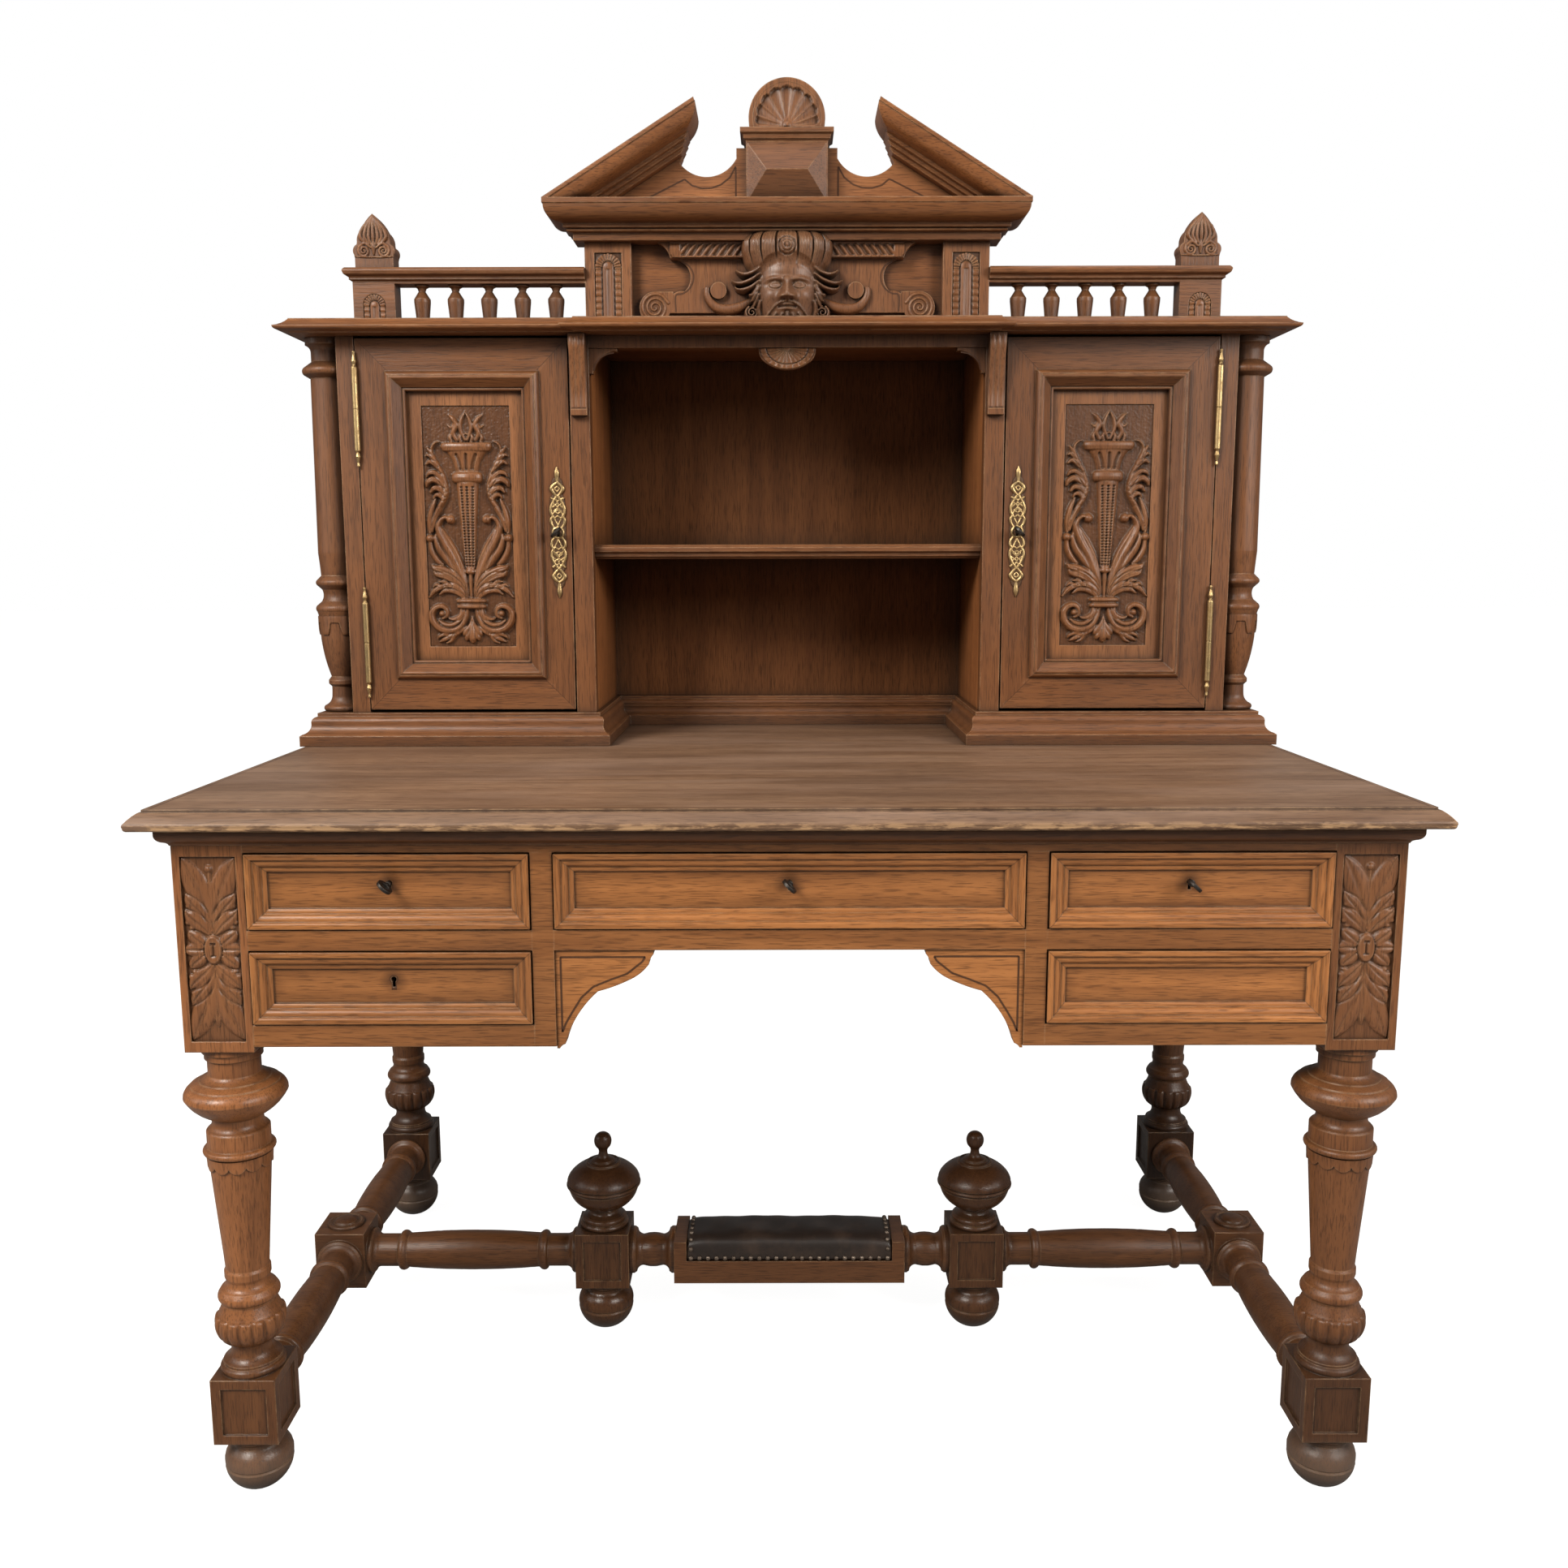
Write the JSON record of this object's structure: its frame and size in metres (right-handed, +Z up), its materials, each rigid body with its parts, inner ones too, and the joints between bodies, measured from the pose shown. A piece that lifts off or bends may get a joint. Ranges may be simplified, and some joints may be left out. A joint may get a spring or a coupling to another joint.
{
  "type": "stepped desk",
  "caption": "Carved wooden writing desk on turned legs with frieze drawers, an upper stage of two cupboards around an open recess, a gallery and a broken pediment",
  "frame": {"origin": "on the floor under the middle of the table top, which is the middle of the object's box", "axes": "+X to the right seen from the sitter's side, +Y to the back, +Z up"},
  "size_m": [1.3512, 0.8106, 1.657],
  "materials": {
    "walnut": "old waxed mid-brown walnut, carved, worn paler on the arrises",
    "dark_walnut": "darker waxed walnut, dusty in the hollows",
    "worn_top": "dulled table top with a rubbed edge",
    "drawer_wood": "plain unpolished drawer lining",
    "leather": "old dark leather, nailed",
    "brass": "aged gilt brass",
    "steel": "dull steel lock work",
    "iron": "dark handled iron"
  },
  "bodies": {
    "carcass": {"desk_top": "worn_top", "cove_moulding": "walnut", "legs": "walnut", "frieze_frame": "walnut", "knee_brackets": "walnut", "frieze_panels": "walnut", "drawer_runners": "drawer_wood", "stretchers": "dark_walnut", "urn_posts": "dark_walnut", "stretcher_finials": "dark_walnut", "footrest_box": "dark_walnut", "footrest_pad": "leather", "plinths": "walnut", "cabinet_case": "dark_walnut", "face_frame": "walnut", "recess_shelf": "walnut", "recess_brackets": "walnut", "columns": "walnut", "hinge_pins": "brass", "cornice_board": "walnut", "gallery_frame": "walnut", "gallery_balusters": "walnut", "gallery_finials": "walnut", "attic_panel": "walnut", "attic_ornament": "walnut", "pediment_cornices": "walnut", "mask": "walnut", "tympanum": "walnut", "pedestal": "walnut", "pediment_shell": "walnut"},
    "drawer_top_left": {"drawer_top_left_front": "walnut", "drawer_top_left_box": "drawer_wood", "drawer_top_left_lock": "steel"},
    "drawer_top_left_bolt": {"drawer_top_left_bolt": "steel"},
    "drawer_top_left_key": {"drawer_top_left_key": "iron"},
    "drawer_centre": {"drawer_centre_front": "walnut", "drawer_centre_box": "drawer_wood", "drawer_centre_lock": "steel"},
    "drawer_centre_bolt": {"drawer_centre_bolt": "steel"},
    "drawer_centre_key": {"drawer_centre_key": "iron"},
    "drawer_top_right": {"drawer_top_right_front": "walnut", "drawer_top_right_box": "drawer_wood", "drawer_top_right_lock": "steel"},
    "drawer_top_right_bolt": {"drawer_top_right_bolt": "steel"},
    "drawer_top_right_key": {"drawer_top_right_key": "iron"},
    "drawer_bottom_left": {"drawer_bottom_left_front": "walnut", "drawer_bottom_left_box": "drawer_wood", "drawer_bottom_left_lock": "steel"},
    "drawer_bottom_right": {"drawer_bottom_right_front": "walnut", "drawer_bottom_right_box": "drawer_wood"},
    "door_left": {"door_left_frame": "walnut", "door_left_panel": "walnut", "door_left_brass": "brass"},
    "door_left_bolt": {"door_left_bolt": "steel"},
    "door_left_key": {"door_left_key": "iron"},
    "door_right": {"door_right_frame": "walnut", "door_right_panel": "walnut", "door_right_brass": "brass"},
    "door_right_bolt": {"door_right_bolt": "steel"},
    "door_right_key": {"door_right_key": "iron"}
  },
  "joints": [
    {"name": "drawer_top_left_slide", "type": "slide", "parent": "carcass", "child": "drawer_top_left", "axis": [0, -1, 0], "range_m": [0, 0.38]},
    {"name": "drawer_top_left_key_turn", "type": "hinge", "parent": "drawer_top_left", "child": "drawer_top_left_key", "pos_m": [-0.419, -0.372, 0.7035], "axis": [0, -1, 0], "range_deg": [0, 90]},
    {"name": "drawer_top_left_bolt_slide", "type": "slide", "parent": "drawer_top_left", "child": "drawer_top_left_bolt", "axis": [0, 0, 1], "range_m": [0, 0.011]},
    {"name": "drawer_centre_slide", "type": "slide", "parent": "carcass", "child": "drawer_centre", "axis": [0, -1, 0], "range_m": [0, 0.38]},
    {"name": "drawer_centre_key_turn", "type": "hinge", "parent": "drawer_centre", "child": "drawer_centre_key", "pos_m": [0, -0.372, 0.7035], "axis": [0, -1, 0], "range_deg": [0, 90]},
    {"name": "drawer_centre_bolt_slide", "type": "slide", "parent": "drawer_centre", "child": "drawer_centre_bolt", "axis": [0, 0, 1], "range_m": [0, 0.011]},
    {"name": "drawer_top_right_slide", "type": "slide", "parent": "carcass", "child": "drawer_top_right", "axis": [0, -1, 0], "range_m": [0, 0.38]},
    {"name": "drawer_top_right_key_turn", "type": "hinge", "parent": "drawer_top_right", "child": "drawer_top_right_key", "pos_m": [0.419, -0.372, 0.7035], "axis": [0, -1, 0], "range_deg": [0, 90]},
    {"name": "drawer_top_right_bolt_slide", "type": "slide", "parent": "drawer_top_right", "child": "drawer_top_right_bolt", "axis": [0, 0, 1], "range_m": [0, 0.011]},
    {"name": "drawer_bottom_left_slide", "type": "slide", "parent": "carcass", "child": "drawer_bottom_left", "axis": [0, -1, 0], "range_m": [0, 0.38]},
    {"name": "drawer_bottom_right_slide", "type": "slide", "parent": "carcass", "child": "drawer_bottom_right", "axis": [0, -1, 0], "range_m": [0, 0.38]},
    {"name": "door_left_swing", "type": "hinge", "parent": "carcass", "child": "door_left", "pos_m": [-0.57625, 0.132, 1.08], "axis": [0, 0, -1], "range_deg": [0, 110]},
    {"name": "door_left_key_turn", "type": "hinge", "parent": "door_left", "child": "door_left_key", "pos_m": [-0.311, 0.136, 1.075], "axis": [0, -1, 0], "range_deg": [0, 90]},
    {"name": "door_left_bolt_slide", "type": "slide", "parent": "door_left", "child": "door_left_bolt", "axis": [1, 0, 0], "range_m": [0, 0.011]},
    {"name": "door_right_swing", "type": "hinge", "parent": "carcass", "child": "door_right", "pos_m": [0.57625, 0.132, 1.08], "axis": [0, 0, 1], "range_deg": [0, 110]},
    {"name": "door_right_key_turn", "type": "hinge", "parent": "door_right", "child": "door_right_key", "pos_m": [0.311, 0.136, 1.075], "axis": [0, 1, 0], "range_deg": [0, 90]},
    {"name": "door_right_bolt_slide", "type": "slide", "parent": "door_right", "child": "door_right_bolt", "axis": [-1, 0, 0], "range_m": [0, 0.011]}
  ],
  "couplings": [
    {"joint": "drawer_top_left_bolt_slide", "follows": "drawer_top_left_key_turn", "m_per_rad": 0.007},
    {"joint": "drawer_centre_bolt_slide", "follows": "drawer_centre_key_turn", "m_per_rad": 0.007},
    {"joint": "drawer_top_right_bolt_slide", "follows": "drawer_top_right_key_turn", "m_per_rad": 0.007},
    {"joint": "door_left_bolt_slide", "follows": "door_left_key_turn", "m_per_rad": 0.007},
    {"joint": "door_right_bolt_slide", "follows": "door_right_key_turn", "m_per_rad": 0.007}
  ]
}
